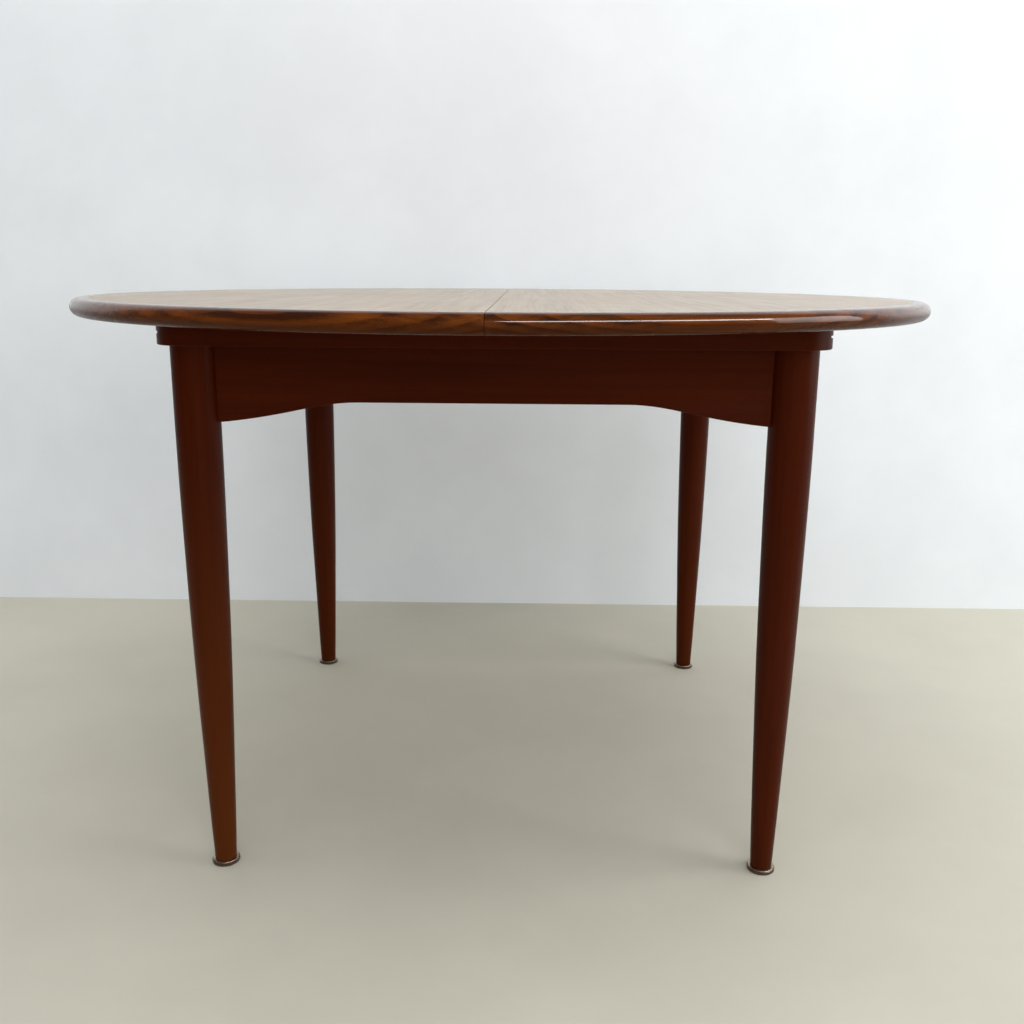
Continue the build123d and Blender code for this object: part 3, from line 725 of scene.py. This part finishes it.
class TABLE_OT_feet(Operator):
    """Finish the foot discs and their washers"""

    bl_idname = "table.feet"
    bl_label = "Finish Feet"

    def execute(self, context):
        metals = context.scene.table_metal
        dress([f"foot_disc_{corner}" for corner in CORNERS], foot_material())
        tarnish = metals.brass_tarnish
        rings = metal_material("Foot rings", metals.foot_ring, tarnish, amount=0.55, gloss=0.25)
        dress(["foot_washers"], rings)
        return {"FINISHED"}


class TABLE_OT_brass(Operator):
    """Finish the brass catches and keepers"""

    bl_idname = "table.brass"
    bl_label = "Finish Brass"

    def execute(self, context):
        metals = context.scene.table_metal
        kinds = ("catch_plate", "catch_lever", "keeper")
        catches = [f"{piece}_{end}" for piece in kinds for end in ENDS]
        tarnish = metals.brass_tarnish
        brass = metal_material("Aged brass", metals.brass, tarnish, amount=0.75, gloss=0.27)
        dress(catches + ["catch_pivot_screws"], brass)
        return {"FINISHED"}


class TABLE_OT_steel(Operator):
    """Finish the steel strips, screws, bolts and pins"""

    bl_idname = "table.steel"
    bl_label = "Finish Steel"

    def execute(self, context):
        metals = context.scene.table_metal
        strips = [f"slide_strip_{corner}" for corner in CORNERS]
        kinds = ("runner_screws", "plate_screws")
        screws = [f"{piece}_{side}" for piece in kinds for side in SIDES]
        fixings = ["rail_screws", "stop_screws", "leg_bolts", "bolt_washers", "bolt_nuts"]
        tarnish = metals.steel_tarnish
        steel = metal_material("Dulled steel", metals.steel, tarnish, amount=0.6, gloss=0.3)
        dress(strips + screws + fixings + ["glide_pins"], steel)
        return {"FINISHED"}


def flat_sheet(name, corners, material):
    """One flat backdrop sheet, divided so that it shades evenly."""
    mesh = bpy.data.meshes.new(name)
    form = bmesh.new()
    form.faces.new([form.verts.new(corner) for corner in corners])
    bmesh.ops.subdivide_edges(form, edges=form.edges[:], cuts=BACKDROP_CUTS, use_grid_fill=True)
    form.to_mesh(mesh)
    form.free()
    sheet = bpy.data.objects.new(name, mesh)
    bpy.context.scene.collection.objects.link(sheet)
    mesh.materials.append(material)


def plaster_material(name, colour, roughness):
    """Plain pale backdrop that can be looked through from behind."""
    material, tree, shader, place = start_material(name)
    cloud = noise(tree, place, PLASTER_CELLS, 5.0, 0.6)
    value = ramp(tree, cloud, *PLASTER_SPAN, *PLASTER_VALUES)
    tone = put(tree, "ShaderNodeHueSaturation", {"Color": with_alpha(colour), "Value": value})
    tree.links.new(tone.outputs[0], shader.inputs["Base Color"])
    shader.inputs["Roughness"].default_value = roughness
    clear = put(tree, "ShaderNodeBsdfTransparent").outputs[0]
    behind = put(tree, "ShaderNodeNewGeometry").outputs["Backfacing"]
    both = put(tree, "ShaderNodeMixShader", {0: behind, 1: shader.outputs[0], 2: clear}).outputs[0]
    tree.links.new(both, tree.nodes["Material Output"].inputs["Surface"])
    return material


def soft_light(name, power):
    """Rectangular soft light aimed at a point."""
    place, target, size = SOFT_LIGHTS[name]
    data = bpy.data.lights.new(f"{name}_light", "AREA")
    data.shape = "RECTANGLE"
    data.size, data.size_y = size
    data.energy = power
    lamp = bpy.data.objects.new(f"{name}_light", data)
    lamp.visible_glossy = name in SEEN_IN_GLOSS
    lamp.visible_diffuse = name not in GLOSS_ONLY
    bpy.context.scene.collection.objects.link(lamp)
    lamp.location = place
    lamp.rotation_mode = "QUATERNION"
    lamp.rotation_quaternion = (Vector(target) - Vector(place)).to_track_quat("-Z", "Y")


class TABLE_OT_studio(Operator):
    """Lay the floor, stand the wall and set the lights"""

    bl_idname = "table.studio"
    bl_label = "Set Up Studio"

    def execute(self, context):
        studio = context.scene.table_studio
        reach, near, wall_y = BACKDROP_REACH, BACKDROP_NEAR, studio.wall_y
        far, height = wall_y + BACKDROP_REACH, BACKDROP_HEIGHT
        floor = [(-reach, near, 0), (reach, near, 0), (reach, far, 0), (-reach, far, 0)]
        wall = [(-reach, wall_y, 0), (reach, wall_y, 0), (reach, wall_y, height),
                (-reach, wall_y, height)]
        flat_sheet("floor", floor, plaster_material("Pale floor", studio.floor, 0.75))
        flat_sheet("wall", wall, plaster_material("Pale wall", studio.wall, 0.9))
        for name in SOFT_LIGHTS:
            soft_light(name, getattr(studio, f"{name}_power"))
        world = context.scene.world or bpy.data.worlds.new("surroundings")
        context.scene.world = world
        world.use_nodes = True
        sky = world.node_tree.nodes["Background"]
        sky.inputs["Color"].default_value = SKY_COLOUR
        sky.inputs["Strength"].default_value = studio.sky
        context.scene.view_settings.view_transform = "Standard"
        context.scene.view_settings.look = "None"
        return {"FINISHED"}


class TABLE_PT_sidebar(Panel):
    """Steps that finish the table"""

    bl_label = "Round Extending Table"
    bl_idname = "TABLE_PT_sidebar"
    bl_space_type = "VIEW_3D"
    bl_region_type = "UI"
    bl_category = "Table"

    def draw(self, context):
        for step in STEPS:
            self.layout.operator(step.bl_idname)
        for name, kind in SETTINGS.items():
            settings = getattr(context.scene, name)
            box = self.layout.box()
            box.label(text=kind.__doc__)
            for setting in kind.__annotations__:
                box.prop(settings, setting)


SETTINGS = {
    "table_wood": TableWoodSettings,
    "table_metal": TableMetalSettings,
    "table_studio": TableStudioSettings,
}
STEPS = (
    TABLE_OT_camera, TABLE_OT_top, TABLE_OT_legs, TABLE_OT_aprons, TABLE_OT_rail_boards,
    TABLE_OT_inner_wood, TABLE_OT_feet, TABLE_OT_brass, TABLE_OT_steel, TABLE_OT_studio,
)


def register():
    for kind in (*SETTINGS.values(), *STEPS, TABLE_PT_sidebar):
        bpy.utils.register_class(kind)
    for name, kind in SETTINGS.items():
        setattr(bpy.types.Scene, name, PointerProperty(type=kind))


def unregister():
    for name in SETTINGS:
        delattr(bpy.types.Scene, name)
    for kind in reversed((*SETTINGS.values(), *STEPS, TABLE_PT_sidebar)):
        bpy.utils.unregister_class(kind)


def main():
    register()
    for step in STEPS:
        group, name = step.bl_idname.split(".")
        if getattr(getattr(bpy.ops, group), name)() != {"FINISHED"}:
            raise RuntimeError(f"{step.bl_label} did not finish")


if __name__ == "__main__":
    main()
